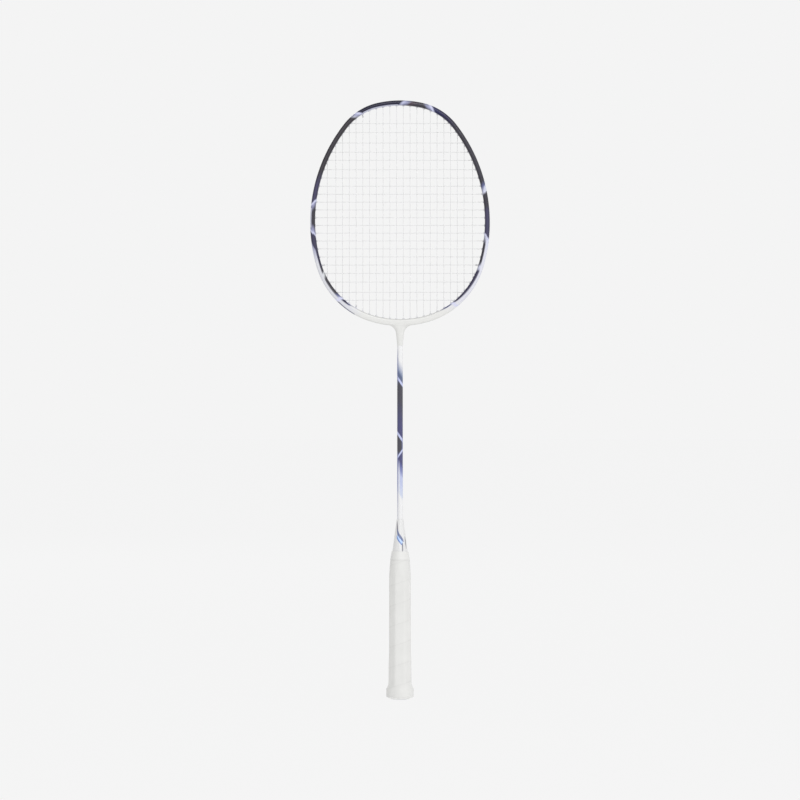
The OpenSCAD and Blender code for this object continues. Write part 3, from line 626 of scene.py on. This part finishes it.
def lacqueredShaft():
    # the same lacquer on a rolled carbon tube, with finer peel
    material, add, place = startMaterial("lacquered_painted_tube", {
        "Roughness": 0.28, "IOR": 1.47, "Coat Weight": 0.15, "Coat Roughness": 0.12, "Specular IOR Level": 0.3})
    x, y, z = add("SeparateXYZ", {0: place}).outputs
    span = (shaft["paintTo"] - shaft["paintFrom"]) * mm
    height = add("Math", {0: z, 1: 1 / span, 2: shaftPlace(0)}, operation="MULTIPLY_ADD")
    across = add("Math", {0: x, 1: shaft["slope"] / span}, operation="MULTIPLY")
    slanted = slantedPlace(add, height, across, [(shaftPlace(h), v) for h, v in shaft["lean"]], 1)
    body = add("ValToRGB", {0: slanted}, [(shaftPlace(h), shaft[name]) for h, name in shaft["body"]])
    slash = add("ValToRGB", {0: slanted}, slashStops(shaft["slashes"], shaftPlace))
    coat = add("Mix", {0: slash, 6: body, 7: shaft["lilac"]}, data_type="RGBA")
    offStrip = add("Math", {0: x, 1: -shaft["stripMiddle"] * mm}, operation="ADD")
    farStrip = add("Math", {0: offStrip}, operation="ABSOLUTE")
    for key, off, tone in (("left", x, "line"), ("right", x, "line"), ("strip", farStrip, "white")):
        start, full = shaft[key + "Reach"]
        share = add("ValToRGB", {0: height}, [(shaftPlace(h), v) for h, v in shaft[key + "Line"]])
        near = add("MapRange", {0: off, 1: start * mm, 2: full * mm})
        strength = add("Math", {0: share, 1: near}, operation="MULTIPLY")
        coat = add("Mix", {0: strength, 6: coat, 7: shaft[tone]}, data_type="RGBA")
    return lacquered(material, place, coat, 0.5, 0.92, 1.06, 1.2, 0.1)  # flakes drawn at 0.5 mm so that they show


r, low, high = shaft["radius"], shaft["bottom"], shaft["top"]
profile = [(shaft["bore"], low), (r - 0.2, low), (r, low + 0.2)]
profile += [(r, z) for z in range(low + 6, high - 4, shaft["ringStep"])]
profile += [(r, high - 0.8), (r - 0.1, high - 0.2), (r - 0.3, high), (shaft["bore"], high)]
makeSkinned("shaft_tube", turned(profile), lacqueredShaft(), "shaft_lacquer", "shaft", closed=True)


# cone: moulded cover that swells from the shaft to the handle
cone = {
    "top": 203, "topRadius": 3.9, "gripTop": 167, "gripRadius": 8.6, "shoulder": 155.5, "shoulderRadius": 9.9,
    "rim": 142, "rimRadius": 10.6, "steps": 24, "seat": 14, "white": "#d9d9d9",
    # print: lowest place and height of it, room across, widest half stroke, softness in and out of a stroke
    "printFrom": 160, "printSpan": 45, "printAcross": 20, "widest": 4, "soft": (0.4, -0.3),
    # printed strokes: colour, then height, middle across, half width
    "strokes": [
        ("#6a6674", [(201, -3.1, 0.1), (196, -3.0, 0.45), (190, -2.8, 0.6), (187, -2.5, 0.3)]),
        ("#6a7498", [(192, -2.9, 0.2), (187.5, -2.1, 1.1), (184.2, -0.6, 1.9), (181, 1.5, 1.9), (178, 3.6, 0.6)]),
        ("#b2cdf5", [(185, -2.8, 0.3), (182, -1.6, 1.2), (178.8, 0.7, 1.6), (175.6, 3.0, 0.7)]),
        ("#6582be", [(185, -3.5, 0.2), (181.2, -2.8, 0.6), (178, -0.8, 0.8), (175.2, 1.6, 0.8), (173.8, 2.7, 0.4)]),
        ("#71727d", [(177, 2.6, 0.2), (174, 2.9, 0.55), (169, 3.0, 0.5), (165, 3.0, 0.4)]),
        ("#808088", [(184, 5.3, 0.1), (179, 6.0, 0.45), (175.5, 6.4, 0.4), (170, 7.0, 0.1)])]}


def conePlace(z):
    return (z - cone["printFrom"]) / cone["printSpan"]


def printedCone():
    # ABS, moulded white and printed under lacquer: even, glossy, with a faint flow mottle about 6 mm wide
    material, add, place = startMaterial("moulded_printed_abs", {
        "Roughness": 0.33, "IOR": 1.53, "Coat Weight": 0.25, "Coat Roughness": 0.12, "Specular IOR Level": 0.4})
    x, y, z = add("SeparateXYZ", {0: place}).outputs
    height = add("Math", {0: z, 1: 1 / (cone["printSpan"] * mm), 2: conePlace(0)}, operation="MULTIPLY_ADD")
    coat, room = cone["white"], cone["printAcross"]
    for shade, marks in cone["strokes"]:
        middle = add("ValToRGB", {0: height}, [(conePlace(h), 0.5 + m / room) for h, m, w in marks[::-1]])
        width = add("ValToRGB", {0: height}, [(conePlace(h), w / cone["widest"]) for h, m, w in marks[::-1]])
        centre = add("Math", {0: middle, 1: room * mm, 2: -room / 2 * mm}, operation="MULTIPLY_ADD")
        off = add("Math", {0: x, 1: centre}, operation="SUBTRACT")
        far = add("Math", {0: off}, operation="ABSOLUTE")
        edge = add("Math", {0: width, 1: -cone["widest"] * mm, 2: far}, operation="MULTIPLY_ADD")
        inside = add("MapRange", {0: edge, 1: cone["soft"][0] * mm, 2: cone["soft"][1] * mm})
        above = add("Math", {0: height, 1: conePlace(marks[0][0])}, operation="LESS_THAN")
        below = add("Math", {0: height, 1: conePlace(marks[-1][0])}, operation="GREATER_THAN")
        both = add("Math", {0: above, 1: below}, operation="MULTIPLY")
        mask = add("Math", {0: both, 1: inside}, operation="MULTIPLY")
        coat = add("Mix", {0: mask, 6: coat, 7: shade}, data_type="RGBA")
    return lacquered(material, place, coat, 6, 0.96, 1.03, 1.4, 0.1)


r, rim, top = cone["topRadius"], cone["rim"], cone["top"]
profile = [(cone["rimRadius"] - 2, rim), (cone["rimRadius"] - 0.3, rim), (cone["rimRadius"], rim + 0.3),
           (cone["shoulderRadius"], cone["shoulder"])]
for k in range(cone["steps"] + 1):
    t = k / cone["steps"]
    profile.append((between(cone["gripRadius"], r + 0.02, t), between(cone["gripTop"], top - 1.2, t)))
profile += [(r - 0.03, top - 0.6), (r - 0.14, top - 0.22), (r - 0.32, top - 0.03),  # rounded top, then the seat
            (shaft["radius"] + 0.02, top), (shaft["radius"] + 0.02, top - cone["seat"])]
makeSkinned("cone_cover", turned(profile), printedCone(), "cone_plastic", "cone", 35)


# grip: one strip wound upwards, each turn lapping over the one below
grip = {
    "bottom": 3.1, "top": 167, "pitch": 23.0, "turns": 11, "turnsBelow": 2, "sides": 112, "turnIn": 1.0,
    "coreWidth": 21.4, "coreDepth": 19.8, "coreChamfer": 5.8, "cornerPower": 24, "flareTop": 14, "flareRise": 0.4,
    # height, growth of the octagon, radius, roundness
    "stations": [
        (-40, 0.6, 15.0, 1), (3.1, 0.6, 15.0, 1), (3.6, 0.8, 15.25, 1), (4.6, 1.0, 15.42, 1),
        (12.6, 1.0, 15.42, 1), (14.0, 2.5, 14.7, 0.85), (15.4, 2.6, 13.9, 0.6), (17.0, 2.5, 13.1, 0.3),
        (19.5, 2.25, 12.2, 0.0), (24, 2.2, 12.2, 0), (44, 1.95, 12.2, 0), (51, 1.5, 12.2, 0),
        (137, 1.5, 12.2, 0), (141, 1.5, 12.1, 0.5), (145, 1.5, 11.85, 0.95), (155.5, 1.5, 11.1, 1),
        (167, 1.5, 9.0, 1), (220, 1.5, 3.0, 1)],
    # share of the strip's width, height of its surface, painted shade of the lap there
    "section": [
        (0.0, -0.01, 1.0), (0.01, 0.02, 0.5), (0.02, 0.04, 0.1), (0.035, 0.06, 0), (0.06, 0.065, 0),
        (0.1, 0.055, 0), (0.16, 0.035, 0), (0.24, 0.02, 0), (0.34, 0.0, 0), (0.5, 0.0, 0), (0.66, 0.0, 0),
        (0.8, 0.0, 0), (0.9, 0.0, 0), (0.96, 0.0, 0.15), (0.985, -0.005, 0.5), (0.995, -0.01, 0.8)]}


def octagonRadius(growth, way):  # rounded octagon of the handle, along a unit direction
    w, d = grip["coreWidth"] / 2 + growth, grip["coreDepth"] / 2 + growth
    c = grip["coreChamfer"] + growth * (2 - math.sqrt(2))
    x, y = abs(way[0]), abs(way[1])
    power = grip["cornerPower"]  # high power of the three facets, so that the corners soften
    return 1 / sum(f ** power for f in (x / w, y / d, (x + y) / (w + d - c))) ** (1 / power)


def gripRadius(z, way):
    for low, high in zip(grip["stations"], grip["stations"][1:]):
        if z <= high[0]:
            t = max(0.0, (z - low[0]) / (high[0] - low[0]))
            growth, radius, roundness = [between(a, b, t) for a, b in zip(low[1:], high[1:])]
            return between(octagonRadius(growth, way), radius, roundness)


def makeGrip():
    sides, rows = grip["sides"], grip["section"]
    points, shades, faces = [], [], []
    total = grip["turns"] * len(rows)
    for n in range(total):
        turn, row = divmod(n, len(rows))
        share, rise, shade = rows[row]
        for k, way in enumerate(unitRing(sides)):
            z = (turn - grip["turnsBelow"] + share + k / sides) * grip["pitch"]
            radius = gripRadius(min(max(z, grip["bottom"]), grip["top"]), way)
            radius += rise * (grip["flareRise"] if z < grip["flareTop"] else 1.0)
            points.append((radius * way[0], radius * way[1], z))
            shades.append(float(shade))
    for n in range(total - 1):
        for k in range(sides - 1):
            faces.append((n * sides + k, n * sides + k + 1, (n + 1) * sides + k + 1, (n + 1) * sides + k))
        if n + len(rows) + 1 < total:  # the last column meets the first column of the next turn
            a, b = (n + 1) * sides - 1, (n + 2) * sides - 1
            c, d = (n + len(rows)) * sides, (n + 1 + len(rows)) * sides
            faces.append((a, c, d, b))
    return points, faces, shades


def cutGrip(points, faces, shades):  # trim the winding level at both ends and turn the edges in
    work = bmesh.new()
    seam = work.verts.layers.float.new("seam")
    verts = [work.verts.new(p) for p in points]
    for v, shade in zip(verts, shades):
        v[seam] = shade
    for f in faces:
        work.faces.new([verts[k] for k in f])
    for height, normal in ((grip["bottom"], -1), (grip["top"], 1)):
        geometry = work.verts[:] + work.edges[:] + work.faces[:]
        bmesh.ops.bisect_plane(
            work, geom=geometry, plane_co=(0, 0, height), plane_no=(0, 0, normal), clear_outer=True)
        rim = [e for e in work.edges if e.is_boundary and all(abs(v.co.z - height) < 1e-4 for v in e.verts)]
        made = bmesh.ops.extrude_edge_only(work, edges=rim)
        for v in [g for g in made["geom"] if isinstance(g, bmesh.types.BMVert)]:
            size = math.hypot(v.co.x, v.co.y)
            v.co.x, v.co.y = [c * (size - grip["turnIn"]) / size for c in (v.co.x, v.co.y)]
    bmesh.ops.remove_doubles(work, verts=work.verts, dist=1e-4)
    work.verts.index_update()
    cut = ([tuple(v.co) for v in work.verts], [[v.index for v in f.verts] for f in work.faces],
           [v[seam] for v in work.verts])
    work.free()
    return cut


def polyurethaneStrip():
    # polyurethane foam strip on felt: soft satin skin with a fine leather-like grain about 0.7 mm across
    material, add, place = startMaterial("grained_polyurethane_strip", {
        "Roughness": 0.62, "IOR": 1.5, "Sheen Weight": 0.08, "Sheen Roughness": 0.5, "Specular IOR Level": 0.35})
    cloud = add("TexNoise", {"Vector": place, "Scale": 1 / (14 * mm), "Detail": 4.0})
    tone = add("ValToRGB", {0: cloud}, [(0.3, "#d7d7d5"), (0.7, "#dcdcda")])
    # painted shade: the strip a touch darker along the laps, where each turn steps over the one below
    seam = add("Attribute", attribute_name="seam").outputs["Fac"]
    seamed = add("Mix", {0: seam, 6: tone, 7: "#d3d3d1"}, data_type="RGBA")
    grain = add("TexVoronoi", {"Vector": place, "Scale": 1 / (0.7 * mm)}).outputs["Distance"]
    fine = add("TexNoise", {"Vector": place, "Scale": 1 / (0.3 * mm)})
    height = add("Math", {0: fine, 1: 0.35, 2: grain}, operation="MULTIPLY_ADD")
    return finishMaterial(material, seamed, height, 0.3, 0.12)


gripPoints, gripFaces, gripLapShade = cutGrip(*makeGrip())
makePiece("grip_winding", gripPoints, gripFaces, polyurethaneStrip(), "grip_pu", "grip_wrap", 60,
          {"seam": gripLapShade})


# finishing tape round the top of the grip
finish = {"low": 157.6, "high": 167.15, "over": 0.18, "thick": 0.16, "steps": 8}


def makeFinish():
    low, high, thick = finish["low"], finish["high"], finish["thick"]
    # lift off the grip and height: rounded lower edge, the width of the tape, upper edge turned in
    rows = [(0.05, low), (0.14, low + 0.02), (thick, low + 0.08)]
    rows += [(thick, between(low, high, k / finish["steps"])) for k in range(1, finish["steps"])]
    rows += [(thick, high - 0.08), (0.12, high - 0.01), (0.0, high), (-0.7, high)]
    rings = []
    for lift, z in rows:
        radii = [gripRadius(min(z, grip["top"]), way) + finish["over"] + lift for way in unitRing(turnSides)]
        rings.append([(r * c, r * s, z) for r, (c, s) in zip(radii, unitRing(turnSides))])
    return rings


# calendered vinyl tape: smooth, low gloss, with faint stretch lines 0.8 mm apart round the handle
vinylTape = twoTone(
    "calendered_vinyl_tape", {"Roughness": 0.45, "IOR": 1.53}, "TexNoise", {"Scale": 1 / (0.8 * mm)},
    [(0.3, "#d8d8d6"), (0.7, "#dddddb")], (0.15, 0.03), (0.15, 0.15, 1.0))
makeSkinned("finish_band", makeFinish(), vinylTape, "finish_tape", "finishing_tape")


# butt: moulded cap and its plain end disc
butt = {
    "rim": 14.25, "level": 0.2, "dome": 2.1, "flatRadius": 7.0, "discRadius": 10.0, "discThick": 1.0,
    "discRing": 8.25, "flangeTop": 12.8, "skirtFoot": 19.0, "skirtRadius": 11.1, "skirtTop": 44.0, "bore": 9.0,
    "cap": ("moulded_polypropylene", 0.5, "#e8e8e6", "#eeeeec"),
    "disc": ("moulded_polypropylene_disc", 0.35, "#dfdfe0", "#e7e7e8")}


def bulge(radius, lift=0.0):  # point of the domed end, from its radius
    f, e = butt["flatRadius"], butt["rim"]
    return radius, butt["dome"] * max(0.0, radius ** 2 - f ** 2) / (e ** 2 - f ** 2) + lift


# polypropylene, moulded with a light spark texture of about 0.4 mm
capPlastic, discPlastic = [
    twoTone(
        name, {"Roughness": roughness, "IOR": 1.49}, "TexNoise", {"Scale": 1 / (0.4 * mm), "Detail": 3.0},
        [(0.3, dark), (0.7, light)], (0.3, 0.04))
    for name, roughness, dark, light in (butt["cap"], butt["disc"])]
e, low, d = butt["rim"], butt["level"], butt["discRadius"]
# recess of the disc, domed end, rounded rim, flange and skirt
profile = [bulge(d + 0.05, 1.1), bulge(d + 0.05, low + 0.25), bulge(d + 0.2, low + 0.05), bulge(d + 0.5, low),
           bulge(d + 1.3, low), bulge(d + 2.1, low), bulge(d + 2.9, low), bulge(e - 0.8, low + 0.02),
           bulge(e - 0.5, low + 0.14), bulge(e - 0.22, low + 0.36), bulge(e - 0.06, low + 0.62),
           bulge(e, low + 0.85), (e, butt["flangeTop"]), (e - 1.2, butt["flangeTop"] + 1.6),
           (butt["skirtRadius"], butt["skirtFoot"]), (butt["skirtRadius"], butt["skirtTop"] - 0.4),
           (butt["skirtRadius"] - 0.3, butt["skirtTop"]), (butt["bore"], butt["skirtTop"])]
makeSkinned("butt_cap_moulding", turned(profile), capPlastic, "cap_plastic", "butt_cap")
back, ring = bulge(d, butt["discThick"])[1], butt["discRing"]  # flat inner face, shallow ring in the outer one
profile = [bulge(0.01)] + [bulge(k) for k in range(1, 8)]
for off, lift in ((-0.35, 0), (-0.2, 0.1), (0, 0.16), (0.2, 0.1), (0.35, 0), (0.95, 0)):
    profile.append(bulge(ring + off, lift))
profile += [bulge(d - 0.3), bulge(d - 0.08, 0.06), bulge(d, 0.2), (d, back), (0.01, back)]
makeSkinned("butt_end_disc", turned(profile), discPlastic, "disc_plastic", "butt_disc", capped=True)


# inner pieces that stay as they are
innerFinishes = {
    # compression-moulded carbon: dark grey with a chopped-tow mottle about 5 mm long
    "t_joint": twoTone(
        "moulded_carbon_composite", {"Roughness": 0.42, "IOR": 1.55}, "TexVoronoi", {"Scale": 1 / (5 * mm)},
        [(0.2, "#2b2c2e"), (0.8, "#4a4b4e")], output="Color"),
    # basswood, sawn and turned: pale, straight fine grain about 1.5 mm apart along the handle
    "handle_core": twoTone(
        "sawn_basswood", {"Roughness": 0.68, "IOR": 1.5}, "TexNoise", {"Scale": 1 / (1.5 * mm), "Detail": 5.0},
        [(0.3, "#b98f5c"), (0.7, "#dcbd8c")], (0.3, 0.05), (1.0, 1.0, 0.06)),
    # drawn steel wire: bright, with fine lines 0.1 mm apart along the draw
    "cap_pins": twoTone(
        "drawn_steel_wire", {"Metallic": 1.0, "Roughness": 0.3}, "TexNoise", {"Scale": 1 / (0.1 * mm)},
        [(0.3, "#98999c"), (0.7, "#b9babd")], stretch=(1.0, 0.05, 1.0)),
    # cotton-backed adhesive tape: plain weave of 0.5 mm threads, slightly yellow from the glue
    "grip_tape": twoTone(
        "woven_adhesive_tape", {"Roughness": 0.8, "IOR": 1.5}, "TexWave", {"Scale": wavePeriod / (0.5 * mm)},
        [(0.0, "#cbc3a6"), (1.0, "#ded8c2")], bands_direction="Z")}
for node, material in innerFinishes.items():
    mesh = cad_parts[node].data
    mesh.materials.clear()
    mesh.materials.append(material)
print("inner pieces finished")


# stage: pale floor that runs into a pale surround, dimmer at the sides, with soft lights in front
stage = {
    "tone": 0.905, "leftTone": 0.34, "rightTone": 0.7, "floorShare": 0.04, "floorRadius": 40, "floorSides": 64,
    "floorDrop": 0.0003, "sideEnds": (0.05, 0.37, 0.63, 0.95), "horizon": (0.2, 0.4),
    # place, width, height, power
    "lights": {"frontLight": ((0.6, -6.2, 3.0), 2.6, 2.6, 108), "rightLight": ((3.4, -2.4, 1.6), 1.0, 3.0, 24),
               "backLight": ((-2.6, 5.4, 3.0), 2.6, 2.6, 60)}}


def paleFloor():  # matt paper, lit evenly so that it runs into the surround
    material = bpy.data.materials.new("matt_paper_floor")
    material.use_nodes = True
    tree = material.node_tree
    tree.nodes.clear()
    add, share = partial(addNode, tree), stage["floorShare"]
    glow = add("Emission", {"Color": (1, 1, 1, 1), "Strength": stage["tone"] * (1 - share)})
    matt = add("BsdfDiffuse", {"Color": (share, share, share, 1)})
    add("OutputMaterial", {0: add("AddShader", {0: glow, 1: matt})})
    return material


floorMesh = bpy.data.meshes.new("floor")
reach = stage["floorRadius"]
floorMesh.from_pydata([(reach * c, reach * s, -stage["floorDrop"]) for c, s in unitRing(stage["floorSides"])], [],
                      [list(range(stage["floorSides"]))])
floorMesh.materials.append(paleFloor())
floor = bpy.data.objects.new("floor", floorMesh)
scene.collection.objects.link(floor)
world = bpy.data.worlds.new("surround")
scene.world = world
world.use_nodes = True
tree = world.node_tree
add = partial(addNode, tree)
x, y, z = add("SeparateXYZ", {0: add("TexCoord").outputs["Generated"]}).outputs
sideways = add("Math", {0: x, 1: 0.5, 2: 0.5}, operation="MULTIPLY_ADD")
sideTone = add("ValToRGB", {0: sideways}, zip(stage["sideEnds"], (
    stage["leftTone"], stage["tone"], stage["tone"], stage["rightTone"])))
sideTone.color_ramp.interpolation = "EASE"
lift = add("MapRange", {0: z, 1: stage["horizon"][0], 2: stage["horizon"][1]})  # even near the horizon
surround = add("Mix", {0: lift, 2: stage["tone"], 3: sideTone}, data_type="FLOAT")
setInputs(tree, tree.nodes["Background"], {"Color": (1, 1, 1, 1), "Strength": surround})
for name, (place, wide, tall, power) in stage["lights"].items():
    lamp = bpy.data.lights.new(name, "AREA")
    lamp.shape = "RECTANGLE"
    lamp.size, lamp.size_y = wide, tall
    lamp.energy = power
    light = bpy.data.objects.new(name, lamp)
    light.location = place
    aim = [a - b for a, b in zip(view["aim"], place)]
    tilt, turn = math.atan2(math.hypot(aim[0], aim[1]), -aim[2]), math.atan2(aim[0], -aim[1]) + math.pi
    light.rotation_euler = (tilt, 0, turn)
    light.visible_camera = False
    scene.collection.objects.link(light)
scene.view_settings.view_transform = "Standard"
scene.view_settings.look = "None"
print("stage set")
